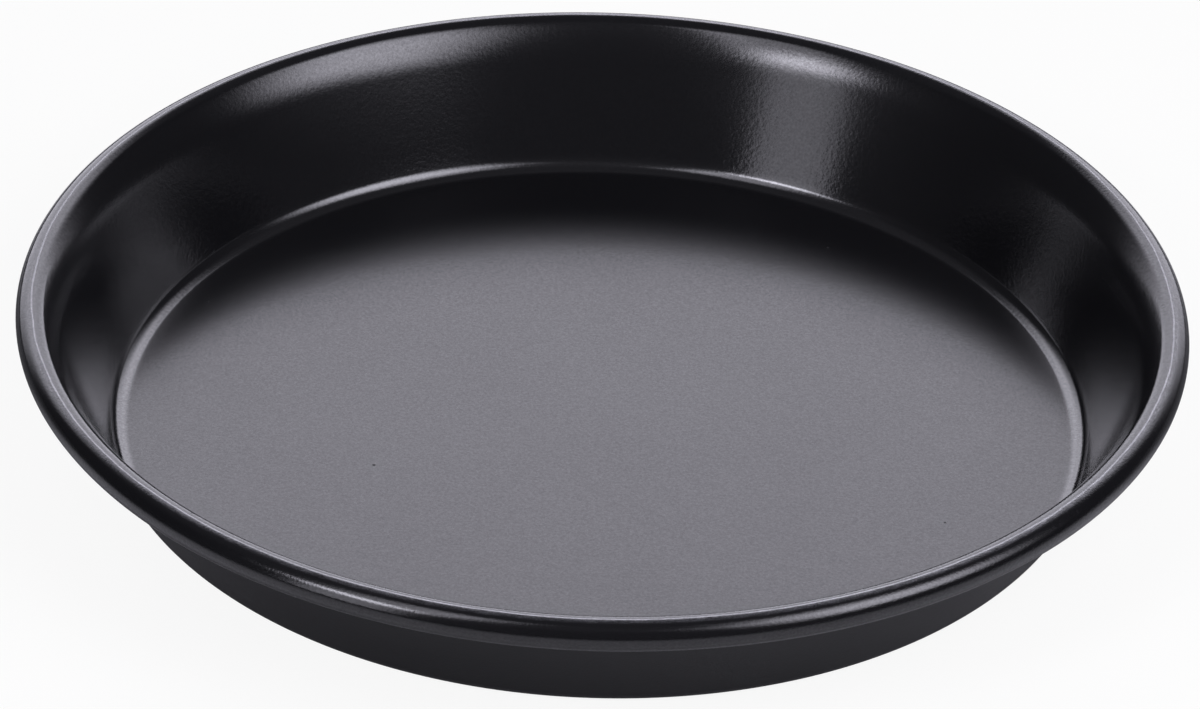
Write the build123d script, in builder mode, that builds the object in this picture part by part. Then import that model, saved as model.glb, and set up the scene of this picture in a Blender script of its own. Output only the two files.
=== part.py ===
from build123d import *

import os
from math import acos, cos, degrees, radians, sin, tan

# Round pizza pan: one drawn steel shell with its rim rolled over a wire ring.
# Lengths are in millimetres, angles in degrees. The pan stands on its flat
# underside at z = 0 and is round about the z axis.

# Whole pan
rim_diameter = 280.0  # over the rolled rim
pan_height = 36.0  # from the table to the top of the rolled rim
sheet = 0.8  # steel thickness, the same everywhere

# Wall, measured on the cooking side
wall_lean = 23.25  # from upright
corner_radius = 4.5  # from the floor up into the wall
flare_radius = 32.0  # the wall's outward bend below the rolled rim
flare_turn = 17.0  # how far that bend goes before the tight curl takes over

# Rolled rim and the wire inside it
wire_diameter = 6.0
wire_clearance = 0.1  # free space all round the wire
curl_end_gap = 0.3  # from the curl's cut edge to the back of the wall
wire_end_gap = 0.6  # between the two ends of the bent wire

# The curl is a circle about the wire. Its outside touches the rim diameter and
# the pan's full height.
curl_radius = wire_diameter / 2 + wire_clearance + sheet
wire_ring_radius = rim_diameter / 2 - curl_radius
wire_height = pan_height - curl_radius

# The flare runs into the curl where their normals meet, so its centre lies
# beyond the curl's on that normal.
flare_lean = radians(wall_lean + flare_turn)
flare_reach = flare_radius - curl_radius
flare_centre_r = wire_ring_radius + flare_reach * cos(flare_lean)
flare_centre_z = wire_height - flare_reach * sin(flare_lean)

# The straight wall ends below on the corner's circle and above on the flare's,
# and it sets how wide the flat floor is.
lean = radians(wall_lean)
wall_top_r = flare_centre_r - flare_radius * cos(lean)
wall_top_z = flare_centre_z + flare_radius * sin(lean)
wall_foot_z = sheet + corner_radius * (1 - sin(lean))
wall_foot_r = wall_top_r - (wall_top_z - wall_foot_z) * tan(lean)
wall_length = (wall_top_z - wall_foot_z) / cos(lean)
floor_radius = wall_foot_r - corner_radius * cos(lean)
corner_turn = 90 - wall_lean

# The curl runs on until its cut edge stands off the back of the flare by the
# gap. The cosine rule gives the angle that stays open there.
cut_edge_distance = flare_radius - sheet - curl_end_gap
open_cosine = (cut_edge_distance**2 - curl_radius**2 - flare_reach**2) / (
    2 * curl_radius * flare_reach
)
curl_turn = 360 - degrees(acos(open_cosine))

# Drawn shell: the cooking side runs from the centre of the floor out to the cut
# edge of the curl, and the back follows it home at the sheet's thickness.
with BuildPart() as pan_shell:
    with BuildSketch(Plane.XZ) as shell_section:
        with BuildLine():
            floor = Line((0, sheet), (floor_radius, sheet))
            corner = JernArc(floor @ 1, floor % 1, corner_radius, corner_turn)
            wall = PolarLine(corner @ 1, wall_length, direction=corner % 1)
            flare = JernArc(wall @ 1, wall % 1, flare_radius, -flare_turn)
            curl = JernArc(flare @ 1, flare % 1, curl_radius, -curl_turn)
            cut_edge = PolarLine(curl @ 1, sheet, direction=(curl % 1).rotate(Axis.Z, -90))
            curl_back = JernArc(cut_edge @ 1, curl % 1 * -1, curl_radius - sheet, curl_turn)
            flare_back = JernArc(curl_back @ 1, curl_back % 1, flare_radius - sheet, flare_turn)
            wall_back = PolarLine(flare_back @ 1, wall_length, direction=flare_back % 1)
            corner_back = JernArc(
                wall_back @ 1, wall_back % 1, corner_radius + sheet, -corner_turn
            )
            Polyline(corner_back @ 1, (0, 0), (0, sheet))
        make_face()
    revolve(axis=Axis.Z)
pan_shell.part.label = "pan_shell"

# Rim wire: round wire bent into a ring, its ends butted at the back, on the +Y
# side.
wire_end_angle = degrees(wire_end_gap / wire_ring_radius)
with BuildPart() as rim_wire:
    with BuildSketch(Plane.YZ) as wire_section:
        with Locations((wire_ring_radius, wire_height)):
            Circle(wire_diameter / 2)
    revolve(axis=Axis.Z, revolution_arc=360 - wire_end_angle)
rim_wire.part.label = "rim_wire"

os.makedirs("parts", exist_ok=True)
export_step(pan_shell.part, "parts/pan_shell.step")
export_step(rim_wire.part, "parts/rim_wire.step")
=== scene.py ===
import math

import bmesh
import bpy
from mathutils import Matrix, Quaternion, Vector


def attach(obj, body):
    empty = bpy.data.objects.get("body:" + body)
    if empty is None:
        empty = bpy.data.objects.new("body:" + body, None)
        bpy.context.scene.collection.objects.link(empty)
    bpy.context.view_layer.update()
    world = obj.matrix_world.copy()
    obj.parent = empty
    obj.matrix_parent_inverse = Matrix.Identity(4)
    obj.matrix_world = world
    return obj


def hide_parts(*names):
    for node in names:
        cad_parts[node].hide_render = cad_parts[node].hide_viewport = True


bl_info = {
    "name": "Pizza Pan",
    "version": (1, 0, 0),
    "blender": (4, 5, 0),
    "location": "3D View > Sidebar > Pizza Pan",
    "description": "Round coated pizza pan with a wired rim, on a pale studio floor",
    "category": "Object",
}

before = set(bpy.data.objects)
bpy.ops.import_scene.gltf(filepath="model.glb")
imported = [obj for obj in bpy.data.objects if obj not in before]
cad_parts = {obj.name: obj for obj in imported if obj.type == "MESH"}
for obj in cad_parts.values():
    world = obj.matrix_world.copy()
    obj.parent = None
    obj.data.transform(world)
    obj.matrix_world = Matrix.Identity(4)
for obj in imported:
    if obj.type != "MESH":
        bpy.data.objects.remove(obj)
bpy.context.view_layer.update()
MM = 0.001

# Name of the vertex layer that the coat reads: the way along the sheet, from
# the middle of the floor out over the rim and home again underneath.
ALONG = "along"

FULL_TURN = 2 * math.pi
MERGE_DISTANCE = 1e-7
SHARP_EDGE = math.radians(50)


# Settings that a user would change

class PanSizes(bpy.types.PropertyGroup):
    """Sizes of the pan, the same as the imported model's."""

    rim_diameter: bpy.props.FloatProperty(
        name="Rim Diameter", description="Over the rolled rim",
        default=0.280, unit="LENGTH")
    pan_height: bpy.props.FloatProperty(
        name="Height", description="From the table to the top of the rolled rim",
        default=0.036, unit="LENGTH")
    sheet: bpy.props.FloatProperty(
        name="Sheet", description="Thickness of the steel",
        default=0.0008, unit="LENGTH")
    wall_lean: bpy.props.FloatProperty(
        name="Wall Lean", description="How far the wall leans out from upright",
        default=math.radians(23.25), subtype="ANGLE")
    corner_radius: bpy.props.FloatProperty(
        name="Corner Radius", description="Inside radius from the floor to the wall",
        default=0.0045, unit="LENGTH")
    flare_radius: bpy.props.FloatProperty(
        name="Flare Radius", description="Outward bend of the wall below the rim",
        default=0.032, unit="LENGTH")
    flare_turn: bpy.props.FloatProperty(
        name="Flare Turn", description="How far the flare turns before the curl",
        default=math.radians(17), subtype="ANGLE")
    wire_diameter: bpy.props.FloatProperty(
        name="Wire Diameter", description="Thickness of the wire in the rim",
        default=0.006, unit="LENGTH")
    wire_clearance: bpy.props.FloatProperty(
        name="Wire Clearance", description="Free space round the wire in the curl",
        default=0.0001, unit="LENGTH")
    curl_end_gap: bpy.props.FloatProperty(
        name="Curl End Gap", description="From the curl's cut edge to the wall",
        default=0.0003, unit="LENGTH")
    wire_end_gap: bpy.props.FloatProperty(
        name="Wire End Gap", description="Between the two ends of the wire",
        default=0.0006, unit="LENGTH")
    steps_around: bpy.props.IntProperty(
        name="Steps Around", description="Faces round the pan", default=288)


class CoatLook(bpy.types.PropertyGroup):
    """Finish of the non-stick coat and of the bare wire."""

    coat_colour: bpy.props.FloatVectorProperty(
        name="Coat Colour", description="Colour of the coat itself",
        default=(0.0050, 0.0050, 0.0058), subtype="COLOR")
    outside_colour: bpy.props.FloatVectorProperty(
        name="Outside Colour", description="Colour of the duller coat outside",
        default=(0.0065, 0.0065, 0.0073), subtype="COLOR")
    # Also the colour of the painted highlight along the ridge of the crest.
    worn_and_highlight_colour: bpy.props.FloatVectorProperty(
        name="Worn Colour", description="Rubbed coat along the crest of the rim",
        default=(0.46, 0.46, 0.485), subtype="COLOR")
    coat_ior: bpy.props.FloatProperty(
        name="Coat IOR", description="How strongly the coat mirrors", default=1.5)
    film_share: bpy.props.FloatProperty(
        name="Film", description="Weight of the clear film over the coat",
        default=0.32, subtype="FACTOR")
    film_roughness: bpy.props.FloatProperty(
        name="Film Roughness", description="Gloss of the clear film",
        default=0.16, subtype="FACTOR")
    floor_roughness: bpy.props.FloatProperty(
        name="Floor Roughness", description="Satin of the cooking floor",
        default=0.24, subtype="FACTOR")
    rim_roughness: bpy.props.FloatProperty(
        name="Rim Roughness", description="Gloss of the rolled rim",
        default=0.11, subtype="FACTOR")
    wall_roughness: bpy.props.FloatProperty(
        name="Wall Roughness", description="Gloss of the foot of the wall inside",
        default=0.10, subtype="FACTOR")
    flare_roughness: bpy.props.FloatProperty(
        name="Flare Roughness", description="Satin of the flare below the rim",
        default=0.17, subtype="FACTOR")
    outside_roughness: bpy.props.FloatProperty(
        name="Outside Roughness", description="Satin of the outside",
        default=0.38, subtype="FACTOR")
    peel_height: bpy.props.FloatProperty(
        name="Orange Peel", description="Height of the coat's fine waves",
        default=0.0000400, unit="LENGTH")
    wire_colour: bpy.props.FloatVectorProperty(
        name="Wire Colour", description="Bare steel of the wire",
        default=(0.50, 0.50, 0.52), subtype="COLOR")


class StudioSettings(bpy.types.PropertyGroup):
    """Camera, backdrop and light of the room."""

    camera_distance: bpy.props.FloatProperty(
        name="Camera Distance", description="From the middle of the underside",
        default=1.402, unit="LENGTH")
    camera_elevation: bpy.props.FloatProperty(
        name="Camera Elevation", description="Above the table",
        default=math.radians(33.05), subtype="ANGLE")
    camera_roll: bpy.props.FloatProperty(
        name="Camera Roll", description="Turn about the line of sight",
        default=math.radians(1.885), subtype="ANGLE")
    camera_lens: bpy.props.FloatProperty(
        name="Lens", description="Focal length for a sensor 36 mm wide", default=173.6)
    camera_aim: bpy.props.FloatVectorProperty(
        name="Aim", description="Point that the camera looks at",
        default=(-0.0004, 0.0, 0.0182), subtype="TRANSLATION")
    backdrop_light: bpy.props.FloatProperty(
        name="Backdrop Light", description="Brightness of the backdrop in the gloss",
        default=2.75)
    room_light: bpy.props.FloatProperty(
        name="Room Light", description="Brightness of the rest of the room",
        default=0.05)
    haze: bpy.props.FloatVectorProperty(
        name="Haze", description="Tint of the light", default=(0.905, 0.89, 1.0),
        subtype="COLOR")


# Drawing with bmesh

class SheetLine:
    """Draws a bent line in the x-z plane by extruding and spinning its last
    vertex, and notes on each vertex how far along the sheet it lies."""

    def __init__(self, mesh, start):
        self.mesh = mesh
        self.along = mesh.verts.layers.float.new(ALONG)
        self.length = 0.0
        self.heading = Vector((1, 0, 0))
        self.last = bmesh.ops.create_vert(mesh, co=start)["vert"][0]

    def left(self):
        return Vector((-self.heading.z, 0, self.heading.x))

    def straight(self, length, parts=1):
        """Goes straight on, in equal parts."""
        for _ in range(parts):
            grown = bmesh.ops.extrude_vert_indiv(self.mesh, verts=[self.last])
            self.last = grown["verts"][0]
            self.last.co += self.heading * length / parts
            self.length += length / parts
            self.last[self.along] = self.length

    def bend(self, radius, turn, steps):
        """Goes round an arc, to the left where the turn is positive."""
        centre = self.last.co + self.left() * math.copysign(radius, turn)
        step = Matrix.Rotation(turn / steps, 3, (0, -1, 0))
        for _ in range(steps):
            grown = bmesh.ops.extrude_vert_indiv(self.mesh, verts=[self.last])
            self.last = grown["verts"][0]
            bmesh.ops.rotate(self.mesh, verts=[self.last], cent=centre, matrix=step)
            self.length += radius * abs(turn) / steps
            self.last[self.along] = self.length
        self.heading = Matrix.Rotation(turn, 3, (0, -1, 0)) @ self.heading

    def turn_right(self):
        """Turns on the spot by a right angle."""
        self.heading = -self.left()


def turn_about_axis(mesh, steps, angle=FULL_TURN):
    """Spins what is drawn about the z axis."""
    bmesh.ops.spin(
        mesh, geom=mesh.verts[:] + mesh.edges[:], cent=(0, 0, 0), axis=(0, 0, 1),
        dvec=(0, 0, 0), angle=angle, steps=steps, use_merge=angle == FULL_TURN,
        use_normal_flip=False, use_duplicate=False)
    bmesh.ops.remove_doubles(mesh, verts=mesh.verts, dist=MERGE_DISTANCE)


def finished_piece(mesh, name, node):
    """Makes the object that stands for a node of the frame."""
    bmesh.ops.recalc_face_normals(mesh, faces=mesh.faces)
    for face in mesh.faces:
        face.smooth = True
    for edge in mesh.edges:
        edge.smooth = edge.calc_face_angle(0.0) < SHARP_EDGE
    data = bpy.data.meshes.new(name)
    mesh.to_mesh(data)
    mesh.free()
    piece = bpy.data.objects.new(name, data)
    bpy.context.scene.collection.objects.link(piece)
    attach(piece, "root")
    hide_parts(node)
    return piece


def rim_layout(sizes):
    """Radii, heights and turns of the sheet, worked out from the sizes as the
    solid's are."""
    curl = sizes.wire_diameter / 2 + sizes.wire_clearance + sizes.sheet
    ring = sizes.rim_diameter / 2 - curl
    high = sizes.pan_height - curl
    flare_lean = sizes.wall_lean + sizes.flare_turn
    reach = sizes.flare_radius - curl
    lean = sizes.wall_lean
    top_r = ring + reach * math.cos(flare_lean) - sizes.flare_radius * math.cos(lean)
    top_z = high - reach * math.sin(flare_lean) + sizes.flare_radius * math.sin(lean)
    foot_z = sizes.sheet + sizes.corner_radius * (1 - math.sin(lean))
    foot_r = top_r - (top_z - foot_z) * math.tan(lean)
    edge = sizes.flare_radius - sizes.sheet - sizes.curl_end_gap
    open_cosine = (edge**2 - curl**2 - reach**2) / (2 * curl * reach)
    return {
        "curl": curl, "ring": ring, "high": high,
        "floor": foot_r - sizes.corner_radius * math.cos(lean),
        "wall": (top_z - foot_z) / math.cos(lean),
        "corner_turn": math.pi / 2 - lean,
        "curl_turn": FULL_TURN - math.acos(open_cosine),
    }


# Materials

class Signal:
    """A node's output that can be used in sums, as a number can."""

    def __init__(self, shop, socket):
        self.shop, self.socket = shop, socket

    def _sum(self, operation, *values):
        return self.shop.node("ShaderNodeMath", {"operation": operation}, *values)

    def __add__(self, other):
        return self._sum("ADD", self, other)

    def __sub__(self, other):
        return self._sum("SUBTRACT", self, other)

    def __rsub__(self, other):
        return self._sum("SUBTRACT", other, self)

    def __mul__(self, other):
        return self._sum("MULTIPLY", self, other)

    def __truediv__(self, other):
        return self._sum("DIVIDE", self, other)

    def __rtruediv__(self, other):
        return self._sum("DIVIDE", other, self)

    __radd__, __rmul__ = __add__, __mul__

    def at_most(self, other):
        return self._sum("MINIMUM", self, other)

    def absolute(self):
        return self._sum("ABSOLUTE", self)

    def ramp(self, low, high):
        """0 below low, 1 above high, and smooth between them."""
        return self.shop.node(
            "ShaderNodeMapRange", {"interpolation_type": "SMOOTHSTEP"},
            self, low, high, 0.0, 1.0)


class Shop:
    """Makes the nodes of one material or world."""

    def __init__(self, tree):
        self.tree = tree
        tree.nodes.clear()

    def node(self, kind, settings, *inputs, out=0, **named):
        """Adds a node, sets it up, fills its inputs and gives one output."""
        made = self.tree.nodes.new(kind)
        for key, value in settings.items():
            setattr(made, key, value)
        pairs = list(zip(made.inputs, inputs))
        for key, value in named.items():
            pairs.append((made.inputs[key.replace("_", " ")], value))
        for socket, value in pairs:
            if isinstance(value, Signal):
                self.tree.links.new(value.socket, socket)
            else:
                socket.default_value = value
        return Signal(self, made.outputs[out]) if made.outputs else made

    def mix(self, share, first, second):
        """Blends two colours."""
        made = self.tree.nodes.new("ShaderNodeMix")
        made.data_type = "RGBA"
        for index, value in ((0, share), (6, first), (7, second)):
            if isinstance(value, Signal):
                self.tree.links.new(value.socket, made.inputs[index])
            else:
                made.inputs[index].default_value = value
        return Signal(self, made.outputs[2])

    def part(self, vector, axis):
        """One of a vector's three numbers."""
        return self.node("ShaderNodeSeparateXYZ", {}, vector, out=axis)

    def noise(self, place, per_metre, detail=2.0, roughness=0.5):
        return self.node(
            "ShaderNodeTexNoise", {}, Vector=place, Scale=per_metre, Detail=detail,
            Roughness=roughness)

    def spots(self, place, per_metre, size):
        """1 inside small round spots that lie at random, one to a cell."""
        far = self.node("ShaderNodeTexVoronoi", {}, Vector=place, Scale=per_metre)
        return 1 - far.ramp(size * 0.6, size)

    def rare(self, place, per_metre, share):
        """1 in about that share of the cells of the same scatter of spots."""
        pick = self.node(
            "ShaderNodeTexVoronoi", {}, Vector=place, Scale=per_metre, out="Color")
        red = self.node("ShaderNodeSeparateColor", {}, pick)
        return 1 - red.ramp(share, share * 1.02)


def new_material(name):
    material = bpy.data.materials.new(name)
    material.use_nodes = True
    return material, Shop(material.node_tree)


def rgba(colour):
    return (*colour, 1.0)


def grey(shade):
    return (shade, shade, shade, 1.0)


# Patterns of the coat, in cells to the metre.
PEEL_SCALE = 950.0
SWELL_SCALE = 120.0
GRAIN_SCALE = 1700.0
CLOUD_SCALE = 28.0
STREAK_SCALE = 330.0
FLECK_SCALE = 2400.0
WANDER_SCALE = 60.0
PIT_SCALE = 55.0
SPECK_SCALE = 80.0

# Size of the pits and specks in parts of a cell, and the share of the cells that
# have a speck.
PIT_SIZE = 0.026
SPECK_SIZE = 0.022
SPECK_SHARE = 0.4

# Rubbed coat: where its band starts and ends, measured outward from the crest of
# the rim, the bright ridge on the crest, which is partly wear and partly a
# painted highlight, how far that ridge wanders, and how much of the coat the band
# wears off at most.
RUB_START = (-0.5 * MM, 0.1 * MM)
RUB_END = (0.6 * MM, 1.7 * MM)
RIDGE_HALF_WIDTH = 0.30 * MM
RIDGE_WANDER = 0.7 * MM
RUB_STRENGTH = 0.42

# Where hands have rubbed it: across to the right, and from the back to the front.
HANDLED_ACROSS = (0.02, 0.11)
HANDLED_FRONT = (-0.06, 0.06)

# How far round the curl the duller coat of the outside starts.
OUTSIDE_SHARE = 0.55


def coat_material(look, sizes, layout):
    """Black non-stick coat: satin floor, glossier wall, rubbed rim crest and a
    duller outside, told apart by the way along the sheet."""
    material, shop = new_material("nonstick_coat")
    place = shop.node("ShaderNodeTexCoord", {}, out="Object")
    along = shop.node("ShaderNodeAttribute", {"attribute_name": ALONG}, out="Fac")

    # Where each stretch of the sheet starts, measured along it.
    corner_from = layout["floor"]
    wall_from = corner_from + sizes.corner_radius * layout["corner_turn"]
    flare_from = wall_from + layout["wall"]
    curl_from = flare_from + sizes.flare_radius * sizes.flare_turn
    crest_turn = math.pi / 2 - sizes.wall_lean - sizes.flare_turn
    crest = curl_from + layout["curl"] * crest_turn
    outside_from = curl_from + layout["curl"] * layout["curl_turn"] * OUTSIDE_SHARE

    off_floor = along.ramp(corner_from - 0.8 * MM, corner_from + 1.2 * MM)
    up_wall = along.ramp(wall_from, flare_from)
    on_rim = along.ramp(curl_from - 1 * MM, curl_from + 1.5 * MM)
    outside = along.ramp(outside_from, outside_from + 2 * MM)

    # Fine waves of the sprayed coat on broad swells, the grain of its film and of
    # the rubbed rim, and faint clouds in its shade.
    peel = shop.noise(place, PEEL_SCALE, roughness=0.6)
    swell = shop.noise(place, SWELL_SCALE, detail=1.0)
    grain = shop.noise(place, GRAIN_SCALE, roughness=0.7)
    cloud = shop.noise(place, CLOUD_SCALE, detail=3.0)

    # Rubbed coat along the crest of the rim, most of it in front on the right, and a
    # bright ridge along the whole crest, partly wear and partly a painted highlight.
    from_crest = along - crest
    to_right = shop.part(place, "X").ramp(*HANDLED_ACROSS)
    to_front = 1 - shop.part(place, "Y").ramp(*HANDLED_FRONT)
    handled = 0.2 + to_front * 0.35 + to_right * 0.45
    rub_band = from_crest.ramp(*RUB_START) * (1 - from_crest.ramp(*RUB_END))
    streaks = shop.node(
        "ShaderNodeTexNoise", {"noise_dimensions": "4D"}, Vector=place,
        W=from_crest * 5.0, Scale=STREAK_SCALE, Detail=4.0, Roughness=0.6)
    streaks = streaks.ramp(0.36, 0.74)
    flecks = shop.noise(place, FLECK_SCALE, roughness=0.7).ramp(0.35, 0.70)
    wander = (shop.noise(place, WANDER_SCALE) - 0.5) * RIDGE_WANDER
    # The ridge is a bright line along the whole crest: partly real wear, partly a painted
    # highlight.
    ridge = (from_crest + wander).absolute() / RIDGE_HALF_WIDTH
    ridge = 1 - ridge.at_most(1.0)
    rubbed_and_highlight = rub_band * RUB_STRENGTH * (0.30 + streaks * 0.70)
    rubbed_and_highlight = rubbed_and_highlight * (0.45 + flecks * 0.55) * handled
    rubbed_and_highlight = (rubbed_and_highlight + ridge * (0.45 + streaks * 0.3 + flecks * 0.25)).at_most(1.0)

    # A few pits and specks of dust under the coat.
    pit_place = shop.node(
        "ShaderNodeMapping", {}, place, (0.013, 0.007, 0.0), (0.0, 0.0, 0.6))
    pits = shop.spots(pit_place, PIT_SCALE, PIT_SIZE)
    specks = shop.spots(place, SPECK_SCALE, SPECK_SIZE)
    specks = specks * shop.rare(place, SPECK_SCALE, SPECK_SHARE)

    shade = shop.mix(outside, rgba(look.coat_colour), rgba(look.outside_colour))
    shade = shop.mix(cloud * 0.25, shade, rgba([c * 1.5 for c in look.coat_colour]))
    # Worn colour on the rubbed band, and a painted highlight along the ridge of the crest.
    shade = shop.mix(rubbed_and_highlight, shade, rgba(look.worn_and_highlight_colour))
    shade = shop.mix(pits * 0.6, shade, grey(0.002))
    shade = shop.mix(specks * 0.4, shade, (0.12, 0.12, 0.125, 1.0))

    rough = look.floor_roughness + off_floor * (look.wall_roughness - look.floor_roughness)
    rough = rough + up_wall * (look.flare_roughness - look.wall_roughness)
    rough = rough + on_rim * (look.rim_roughness - look.flare_roughness)
    rough = rough + outside * (look.outside_roughness - look.rim_roughness)
    rough = rough + (cloud - 0.5) * 0.05 + rubbed_and_highlight * 0.16 + pits * 0.3

    # The waves are strongest on the wall, and the rubbed rim is gritty.
    height = peel * (0.5 + off_floor * 0.5 - up_wall * 0.15 - on_rim * 0.5)
    height = height + swell * 0.45
    height = height + grain * on_rim * handled * (1.6 + rub_band * 2.4)
    height = (height + specks * 2.2 - pits * 4.4) * look.peel_height
    bump = shop.node("ShaderNodeBump", {}, Strength=1.0, Distance=1.0, Height=height)

    # The film pools in the corner and thins a little on the rim.
    pool = along.ramp(corner_from - 0.5 * MM, corner_from + 1.2 * MM)
    pool = pool * (1 - along.ramp(wall_from - 1.2 * MM, wall_from + 1.5 * MM))
    film = look.film_share + pool * 0.6 + (grain - 0.5) * (0.8 + off_floor * 0.6)
    film = film * (1 - on_rim * 0.1) * (1 - pits)

    surface = shop.node(
        "ShaderNodeBsdfPrincipled", {}, Base_Color=shade, Roughness=rough,
        IOR=look.coat_ior, Normal=bump, Coat_Weight=film,
        Coat_Roughness=look.film_roughness)
    shop.node("ShaderNodeOutputMaterial", {}, surface)
    return material


# Dull film and fine grain of the bare wire, in cells to the metre, and how deep
# the grain is.
WIRE_FILM_SCALE = 90.0
WIRE_GRAIN_SCALE = 2600.0
WIRE_GRAIN_DEPTH = 0.002 * MM


def wire_material(look):
    """Bare drawn steel wire, with a fine grain and a dull grey film."""
    material, shop = new_material("steel_wire")
    place = shop.node("ShaderNodeTexCoord", {}, out="Object")
    film = shop.noise(place, WIRE_FILM_SCALE, detail=3.0)
    grain = shop.noise(place, WIRE_GRAIN_SCALE)
    dull = rgba([c * 0.6 for c in look.wire_colour])
    shade = shop.mix(film, rgba(look.wire_colour), dull)
    bump = shop.node(
        "ShaderNodeBump", {}, Strength=1.0, Distance=1.0, Height=grain * WIRE_GRAIN_DEPTH)
    surface = shop.node(
        "ShaderNodeBsdfPrincipled", {}, Base_Color=shade, Metallic=1.0,
        Roughness=0.28 + film * 0.18, Normal=bump)
    shop.node("ShaderNodeOutputMaterial", {}, surface)
    return material


# Operators

# Faces along each stretch of the sheet, on the cooking side and then on the way
# home. A narrow edge of the floor has faces of its own, which keep the floor's
# shading flat up to the corner.
INSIDE_STEPS = {
    "floor": 9, "floor_edge": 2, "corner": 14, "wall": 4, "flare": 8, "curl": 56}
BACK_STEPS = {
    "curl": 40, "flare": 8, "wall": 2, "corner": 12, "floor_edge": 2, "floor": 6}
FLOOR_EDGE_SHARE = 0.01
WIRE_SEGMENTS = 32
WIRE_STEPS = 180


class PIZZAPAN_OT_shell(bpy.types.Operator):
    """Adds the drawn shell with its rolled rim"""

    bl_idname = "pizzapan.shell"
    bl_label = "Add Shell"

    def execute(self, context):
        sizes, look = context.scene.pan_sizes, context.scene.coat_look
        layout = rim_layout(sizes)
        mesh = bmesh.new()
        floor_edge = layout["floor"] * FLOOR_EDGE_SHARE
        floor = layout["floor"] * (1 - FLOOR_EDGE_SHARE)
        line = SheetLine(mesh, (0, 0, sizes.sheet))
        steps = INSIDE_STEPS
        line.straight(floor, steps["floor"])
        line.straight(floor_edge, steps["floor_edge"])
        line.bend(sizes.corner_radius, layout["corner_turn"], steps["corner"])
        line.straight(layout["wall"], steps["wall"])
        line.bend(sizes.flare_radius, -sizes.flare_turn, steps["flare"])
        line.bend(layout["curl"], -layout["curl_turn"], steps["curl"])
        line.turn_right()
        line.straight(sizes.sheet)
        line.turn_right()
        steps = BACK_STEPS
        line.bend(layout["curl"] - sizes.sheet, layout["curl_turn"], steps["curl"])
        line.bend(sizes.flare_radius - sizes.sheet, sizes.flare_turn, steps["flare"])
        line.straight(layout["wall"], steps["wall"])
        line.bend(
            sizes.corner_radius + sizes.sheet, -layout["corner_turn"], steps["corner"])
        line.straight(floor_edge, steps["floor_edge"])
        line.straight(floor, steps["floor"])
        turn_about_axis(mesh, sizes.steps_around)
        piece = finished_piece(mesh, "shell", "pan_shell")
        if len(piece.data.polygons) < sizes.steps_around:
            raise RuntimeError("the shell came out without faces")
        piece.data.materials.append(coat_material(look, sizes, layout))
        return {"FINISHED"}


class PIZZAPAN_OT_wire(bpy.types.Operator):
    """Adds the wire ring that the rim is rolled over"""

    bl_idname = "pizzapan.wire"
    bl_label = "Add Rim Wire"

    def execute(self, context):
        sizes, look = context.scene.pan_sizes, context.scene.coat_look
        layout = rim_layout(sizes)
        gap = sizes.wire_end_gap / layout["ring"]
        mesh = bmesh.new()
        square = math.pi / 2
        upright = Matrix.Rotation(square, 4, "Y") @ Matrix.Rotation(square, 4, "Z")
        place = Matrix.Translation((0, layout["ring"], layout["high"])) @ upright
        bmesh.ops.create_circle(
            mesh, cap_ends=True, radius=sizes.wire_diameter / 2, segments=WIRE_SEGMENTS,
            matrix=place)
        turn_about_axis(mesh, WIRE_STEPS, FULL_TURN - gap)
        far_end = [edge for edge in mesh.edges if edge.is_boundary]
        bmesh.ops.holes_fill(mesh, edges=far_end, sides=0)
        piece = finished_piece(mesh, "wire", "rim_wire")
        piece.data.materials.append(wire_material(look))
        return {"FINISHED"}


def aimed(place, target):
    """The turn that points a lamp's or camera's -Z axis at the target."""
    return (Vector(target) - Vector(place)).to_track_quat("-Z", "Y")


def around_pan(azimuth, elevation, distance):
    """A point about the pan: azimuth 0 is in front and turns to the right."""
    flat = distance * math.cos(elevation)
    return Vector((flat * math.sin(azimuth), -flat * math.cos(azimuth),
                   distance * math.sin(elevation)))


# Lamps: left and right edge, lower and upper edge, both in degrees as the pan
# sees them, over how many degrees the light fades across these edges, and how
# bright each lamp looks in its middle. All face a point in the middle of the pan.
LAMP_DISTANCE = 1.5
LAMP_TARGET = (0, 0, 0.02)
LAMPS = (
    ("left_panel", (-52.5, -34), (0, 31), (5, 6), 1.9),
    ("left_box", (-55.5, -35), (32.5, 43.5), (16, 11), 12.5),
    ("left_box_top", (-62, -28), (46, 70), (14, 10), 1.9),
    ("left_box_end", (-35, -26), (44, 62), (8, 10), 2.2),
    ("right_box", (37, 80), (26, 55.5), (32, 18), 5.9),
    ("right_box_top", (40, 84), (56, 67), (16, 10), 2.0),
)

# The backdrop behind the pan, in degrees as the pan sees it: its middle, how far
# from there its sides fade, and the elevations over which it comes up to full
# brightness from its dimmer lower part, and over which it ends. Its foot fades
# over these sines of the elevation.
BACKDROP_MIDDLE = -1.5
BACKDROP_SIDES = (25, 54)
BACKDROP_FULL = (21, 35)
BACKDROP_TOP = (35, 47)
BACKDROP_FOOT = (-0.10, 0.02)
BACKDROP_LOWER_PART = 0.72

# The rest of the room is a little brighter in front and overhead. These are the
# parts of a direction that points forward, and up, over which it grows.
ROOM_IN_FRONT = (0.0, 0.8)
ROOM_OVERHEAD = (0.6, 0.85)
OVERHEAD_GAIN = 1.3

# The table: its size, how far it lies below the pan, and its colours, first as
# the camera sees it and then the greys that the coat mirrors, which are painted
# light and shade, darkest under the rim as a painted shadow of the pan.
TABLE_REACH = 20.0
TABLE_DROP = 0.05 * MM
TABLE_COLOUR = (0.95, 0.965, 0.89, 1.0)
TABLE_WHITE_SHARE = 0.9
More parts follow.
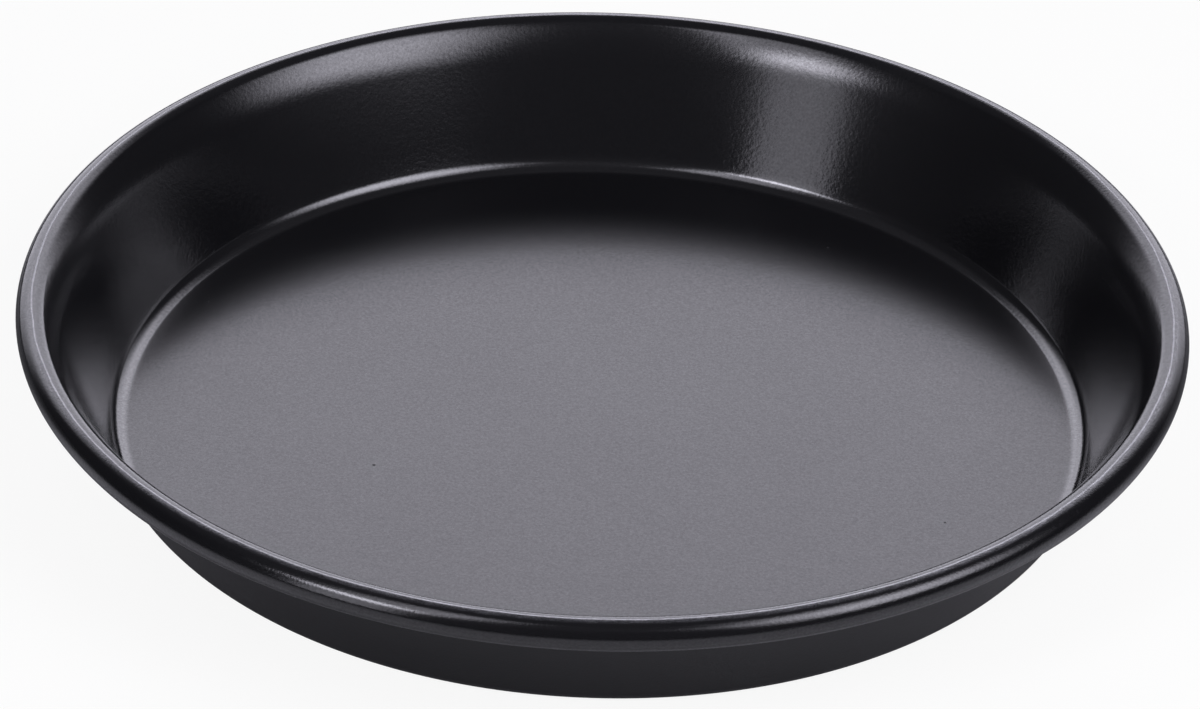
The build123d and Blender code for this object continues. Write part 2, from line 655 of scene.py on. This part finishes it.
# Painted shadow of the pan under its rim, and painted light and shade around it.
SHADOW_GREY_UNDER_RIM = 0.40
GREY_IN_FRONT = 0.78
GREY_AT_SIDES = 0.16
GREY_BEHIND = 0.75
GREY_FAR_OFF = 0.10

# Over which distances those greys change: out from the middle of the pan, or
# from in front of it to behind it.
FROM_RIM_OUT = (0.138, 0.158)
FRONT_TO_SIDES = (-0.08, 0.02)
SIDES_TO_BEHIND = (0.08, 0.17)
NEAR_TO_FAR = (0.17, 0.40)


def sine(degrees):
    return math.sin(math.radians(degrees))


def soft_ends(way, fade):
    """1 in the middle of a lamp's width or height and 0 at both its ends."""
    return way.ramp(0.0, fade) * (1 - way.ramp(1 - fade, 1.0))


def softbox(name, sides, heights, fade, glow, tint):
    """A flat lamp that faces the pan and fills the given angles of its view."""
    azimuth = math.radians(sum(sides) / 2)
    elevation = math.radians(sum(heights) / 2)
    wide = sides[1] - sides[0] + fade[0]
    tall = heights[1] - heights[0] + fade[1]
    half_wide = math.radians(wide) / 2 * math.cos(elevation)
    half_tall = math.radians(tall) / 2
    lamp = bpy.data.lights.new(name, "AREA")
    lamp.shape = "RECTANGLE"
    lamp.size = 2 * LAMP_DISTANCE * math.tan(half_wide)
    lamp.size_y = 2 * LAMP_DISTANCE * math.tan(half_tall)
    lamp.energy = glow * math.pi * lamp.size * lamp.size_y
    lamp.color = tint
    lamp.use_nodes = True
    shop = Shop(lamp.node_tree)
    spot = shop.node("ShaderNodeNewGeometry", {}, out="Parametric")
    across, up = shop.part(spot, "X"), shop.part(spot, "Y")
    shine = soft_ends(across, fade[0] / wide) * soft_ends(up, fade[1] / tall)
    light = shop.node("ShaderNodeEmission", {}, grey(1.0), shine)
    shop.node("ShaderNodeOutputLight", {}, light)
    holder = bpy.data.objects.new(name, lamp)
    holder.rotation_mode = "QUATERNION"
    holder.location = around_pan(azimuth, elevation, LAMP_DISTANCE)
    holder.rotation_quaternion = aimed(holder.location, LAMP_TARGET)
    holder.visible_camera = False
    bpy.context.scene.collection.objects.link(holder)


class PIZZAPAN_OT_studio(bpy.types.Operator):
    """Adds the floor, the lights, the backdrop and the camera"""

    bl_idname = "pizzapan.studio"
    bl_label = "Add Studio"

    def execute(self, context):
        scene, studio = context.scene, context.scene.studio_settings
        self.add_floor()
        self.light_room(scene, studio)
        for name, sides, heights, fade, glow in LAMPS:
            softbox(name, sides, heights, fade, glow, studio.haze)
        self.add_camera(scene, studio)
        scene.view_settings.view_transform = "Standard"
        return {"FINISHED"}

    def add_floor(self):
        mesh = bmesh.new()
        bmesh.ops.create_grid(mesh, x_segments=1, y_segments=1, size=TABLE_REACH)
        bmesh.ops.translate(mesh, verts=mesh.verts, vec=(0, 0, -TABLE_DROP))
        data = bpy.data.meshes.new("table_top")
        mesh.to_mesh(data)
        mesh.free()
        floor = bpy.data.objects.new("table_top", data)
        bpy.context.scene.collection.objects.link(floor)
        material, shop = new_material("pale_table")
        seen = shop.node("ShaderNodeLightPath", {}, out="Is Camera Ray")
        pale = shop.node("ShaderNodeBsdfDiffuse", {}, TABLE_COLOUR)
        white = shop.node("ShaderNodeEmission", {}, grey(1.0), 1.0)
        lit = shop.node("ShaderNodeMixShader", {}, TABLE_WHITE_SHARE, pale, white)
        # The coat mirrors greys painted on the table as light and shade: a painted
        # shadow of the pan right under its rim, a pale ring in front of the pan, a white
        # one behind it, and little of the table at its sides and farther off.
        place = shop.node("ShaderNodeTexCoord", {}, out="Object")
        reach = shop.node(
            "ShaderNodeVectorMath", {"operation": "LENGTH"}, place, out="Value")
        back = shop.part(place, "Y")
        # Painted shadow: the darkest grey lies right under the rim.
        shade = shop.mix(
            reach.ramp(*FROM_RIM_OUT), grey(SHADOW_GREY_UNDER_RIM), grey(GREY_IN_FRONT))
        shade = shop.mix(back.ramp(*FRONT_TO_SIDES), shade, grey(GREY_AT_SIDES))
        shade = shop.mix(back.ramp(*SIDES_TO_BEHIND), shade, grey(GREY_BEHIND))
        shade = shop.mix(reach.ramp(*NEAR_TO_FAR), shade, grey(GREY_FAR_OFF))
        dull = shop.node("ShaderNodeBsdfDiffuse", {}, shade)
        both = shop.node("ShaderNodeMixShader", {}, seen, dull, lit)
        shop.node("ShaderNodeOutputMaterial", {}, both)
        data.materials.append(material)

    def light_room(self, scene, studio):
        world = bpy.data.worlds.new("studio_room")
        world.use_nodes = True
        scene.world = world
        shop = Shop(world.node_tree)
        way = shop.node("ShaderNodeTexCoord", {}, out="Generated")
        right, behind, high = (shop.part(way, axis) for axis in "XYZ")
        azimuth = shop.node("ShaderNodeMath", {"operation": "ARCTAN2"}, right, behind)
        aside = (azimuth - math.radians(BACKDROP_MIDDLE)).absolute()
        wide = 1 - aside.ramp(*(math.radians(side) for side in BACKDROP_SIDES))
        tall = 1 - high.ramp(*(sine(edge) for edge in BACKDROP_TOP))
        full = high.ramp(*(sine(edge) for edge in BACKDROP_FULL))
        upper_gain = full * (1 - BACKDROP_LOWER_PART)
        backdrop = wide * tall * (BACKDROP_LOWER_PART + upper_gain)
        backdrop = backdrop * high.ramp(*BACKDROP_FOOT)
        in_front = (0 - behind).ramp(*ROOM_IN_FRONT)
        overhead = high.ramp(*ROOM_OVERHEAD)
        room_glow = studio.room_light * (1 + in_front + overhead * OVERHEAD_GAIN)
        glow = room_glow + backdrop * studio.backdrop_light
        room = shop.node("ShaderNodeBackground", {}, rgba(studio.haze), glow)
        white = shop.node("ShaderNodeBackground", {}, grey(1.0), 1.0)
        seen = shop.node("ShaderNodeLightPath", {}, out="Is Camera Ray")
        both = shop.node("ShaderNodeMixShader", {}, seen, room, white)
        shop.node("ShaderNodeOutputWorld", {}, both)

    def add_camera(self, scene, studio):
        data = bpy.data.cameras.new("camera")
        data.sensor_width = 36.0
        data.lens = studio.camera_lens
        data.clip_end = 100.0
        camera = bpy.data.objects.new("camera", data)
        place = around_pan(0.0, studio.camera_elevation, studio.camera_distance)
        camera.location = place
        camera.rotation_mode = "QUATERNION"
        roll = Quaternion((0, 0, 1), studio.camera_roll)
        camera.rotation_quaternion = aimed(place, studio.camera_aim) @ roll
        scene.collection.objects.link(camera)
        scene.camera = camera


class PIZZAPAN_PT_panel(bpy.types.Panel):
    """Lists the pan's operators and settings in the sidebar"""

    bl_label = "Pizza Pan"
    bl_space_type = "VIEW_3D"
    bl_region_type = "UI"
    bl_category = "Pizza Pan"

    def draw(self, context):
        for made in PIECES:
            self.layout.operator(made.bl_idname)
        for group in GROUPS:
            box = self.layout.box()
            held = getattr(context.scene, group)
            for name in held.bl_rna.properties.keys():
                if name not in ("rna_type", "name"):
                    box.prop(held, name)


PIECES = (PIZZAPAN_OT_shell, PIZZAPAN_OT_wire, PIZZAPAN_OT_studio)
GROUPS = {
    "pan_sizes": PanSizes,
    "coat_look": CoatLook,
    "studio_settings": StudioSettings,
}


def register():
    for made in (*GROUPS.values(), *PIECES, PIZZAPAN_PT_panel):
        bpy.utils.register_class(made)
    for name, group in GROUPS.items():
        setattr(bpy.types.Scene, name, bpy.props.PointerProperty(type=group))


def unregister():
    for name in GROUPS:
        delattr(bpy.types.Scene, name)
    for made in (PIZZAPAN_PT_panel, *reversed(PIECES), *GROUPS.values()):
        bpy.utils.unregister_class(made)


def main():
    register()
    bpy.ops.pizzapan.shell()
    bpy.ops.pizzapan.wire()
    bpy.ops.pizzapan.studio()


if __name__ == "__main__":
    main()
